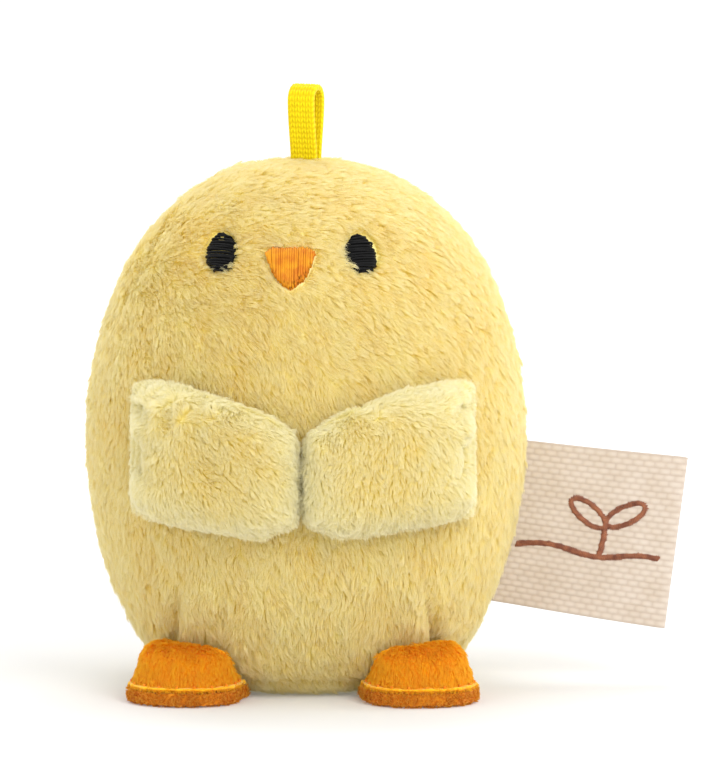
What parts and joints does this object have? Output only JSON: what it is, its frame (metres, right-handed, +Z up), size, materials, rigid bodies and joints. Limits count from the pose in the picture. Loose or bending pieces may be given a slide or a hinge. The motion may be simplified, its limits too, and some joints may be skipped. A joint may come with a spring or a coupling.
{
  "type": "plush chick keychain",
  "caption": "Stuffed pile-fabric chick with folded wings, flat feet, a side label and a tape loop at the crown for hanging it from a key ring or bag.",
  "frame": {"origin": "middle of the flat base, on the ground", "axes": "+Z up, the toy faces -Y, its own left side is +X"},
  "size_m": [0.0895, 0.0724, 0.09],
  "materials": {
    "body_pile": "matte",
    "wing_pile": "matte",
    "foot_pile": "matte",
    "foot_sole_cloth": "matte",
    "foot_thread": "matte",
    "stuffing": "matte",
    "stabiliser": "matte",
    "sewing_thread": "matte",
    "black_thread": "satin",
    "orange_thread": "satin",
    "loop_tape": "matte",
    "label_tape": "matte"
  },
  "bodies": {
    "body": {"front_panel": "body_pile", "back_panel": "body_pile", "base_panel": "body_pile", "body_filling": "stuffing", "embroidery_backing": "stabiliser", "left_eye_stitching": "black_thread", "right_eye_stitching": "black_thread", "beak_stitching": "orange_thread", "side_seam_thread": "sewing_thread", "base_seam_thread": "sewing_thread", "closing_stitches": "sewing_thread", "loop_bar_tack": "sewing_thread", "loop_tucked_ends": "loop_tape", "label_tucked_ends": "label_tape", "left_foot_tab": "foot_sole_cloth", "left_wing_root_stitches": "sewing_thread", "right_foot_tab": "foot_sole_cloth", "right_wing_root_stitches": "sewing_thread"},
    "left_wing": {"left_wing_outer_panel": "wing_pile", "left_wing_inner_panel": "wing_pile", "left_wing_filling": "stuffing", "left_wing_edge_thread": "sewing_thread"},
    "right_wing": {"right_wing_outer_panel": "wing_pile", "right_wing_inner_panel": "wing_pile", "right_wing_filling": "stuffing", "right_wing_edge_thread": "sewing_thread"},
    "left_foot": {"left_foot_upper": "foot_pile", "left_foot_sole": "foot_sole_cloth", "left_foot_filling": "stuffing", "left_foot_edge_thread": "foot_thread"},
    "right_foot": {"right_foot_upper": "foot_pile", "right_foot_sole": "foot_sole_cloth", "right_foot_filling": "stuffing", "right_foot_edge_thread": "foot_thread"},
    "hang_loop": {"hang_loop": "loop_tape"},
    "side_label": {"side_label": "label_tape"}
  },
  "joints": [
    {"name": "left_wing_lift", "type": "hinge", "parent": "body", "child": "left_wing", "pos_m": [0.0259, -0.0186, 0.0362], "axis": [0, 0, 1], "range_deg": [0, 100], "stiffness_Nm_per_rad": 0.0001},
    {"name": "right_wing_lift", "type": "hinge", "parent": "body", "child": "right_wing", "pos_m": [-0.0259, -0.0186, 0.0362], "axis": [0, 0, -1], "range_deg": [0, 100], "stiffness_Nm_per_rad": 0.0001},
    {"name": "left_foot_flex", "type": "hinge", "parent": "body", "child": "left_foot", "pos_m": [0.01089, -0.01253, 0.0012], "axis": [0.7547, 0.6561, 0], "range_deg": [0, 35], "stiffness_Nm_per_rad": 0.001},
    {"name": "right_foot_flex", "type": "hinge", "parent": "body", "child": "right_foot", "pos_m": [-0.01089, -0.01253, 0.0012], "axis": [0.7547, -0.6561, 0], "range_deg": [0, 35], "stiffness_Nm_per_rad": 0.001},
    {"name": "loop_tilt", "type": "hinge", "parent": "body", "child": "hang_loop", "pos_m": [0, 0, 0.0795], "axis": [0.9272, -0.3746, 0], "range_deg": [-60, 60], "stiffness_Nm_per_rad": 0.0001},
    {"name": "label_swing", "type": "hinge", "parent": "body", "child": "side_label", "pos_m": [0.0328, 0, 0.0238], "axis": [0.1305, 0, 0.9914], "range_deg": [-60, 60], "stiffness_Nm_per_rad": 0.0001}
  ]
}
